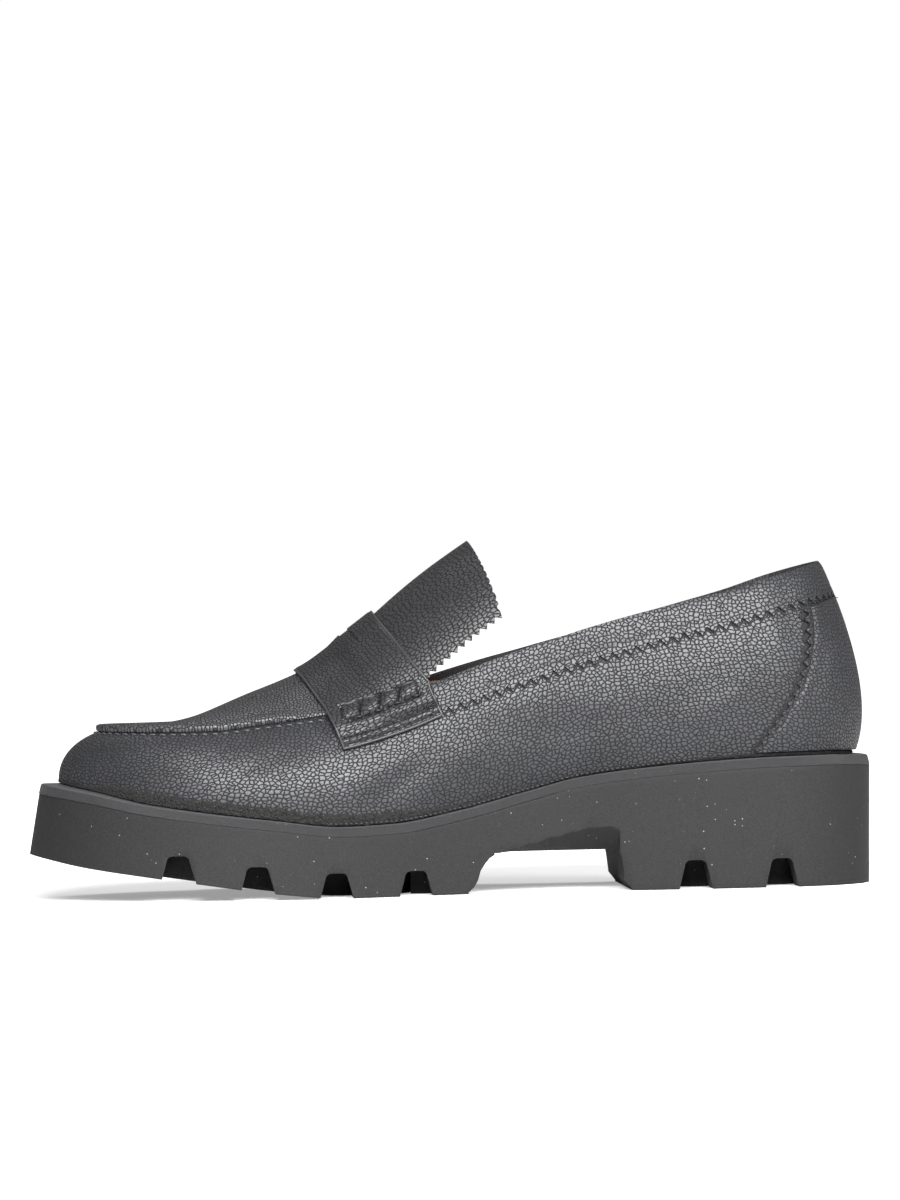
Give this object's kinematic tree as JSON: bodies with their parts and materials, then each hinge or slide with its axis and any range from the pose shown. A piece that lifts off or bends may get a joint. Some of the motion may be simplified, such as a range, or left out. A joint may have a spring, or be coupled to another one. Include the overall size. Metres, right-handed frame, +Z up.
{
  "type": "loafer",
  "caption": "Chunky lug sole penny loafer for the right foot: hollow leather upper with moccasin apron, tongue and slotted saddle strap on a thick cleated rubber unit with a block heel.",
  "frame": {"origin": "middle of the bounding box on the ground plane that the tread stands on", "axes": "toe towards -X, heel towards +X, inner side of the foot towards -Y, outer side towards +Y, +Z up"},
  "size_m": [0.2726, 0.0948, 0.1129],
  "materials": {
    "black_leather": "pebbled grain, semi-matt, black",
    "tan_lining": "smooth tan lining leather, matt",
    "sole_rubber": "matt dark grey rubber with fine speckle",
    "welt_rubber": "trimmed edge, slightly smoother"
  },
  "bodies": {
    "root": {"outsole": "sole_rubber", "midsole": "welt_rubber", "insole": "tan_lining", "upper": "black_leather", "apron": "black_leather", "tongue": "black_leather", "saddle_strap": "black_leather", "collar_strip": "black_leather", "heel_counter": "black_leather"}
  },
  "joints": []
}
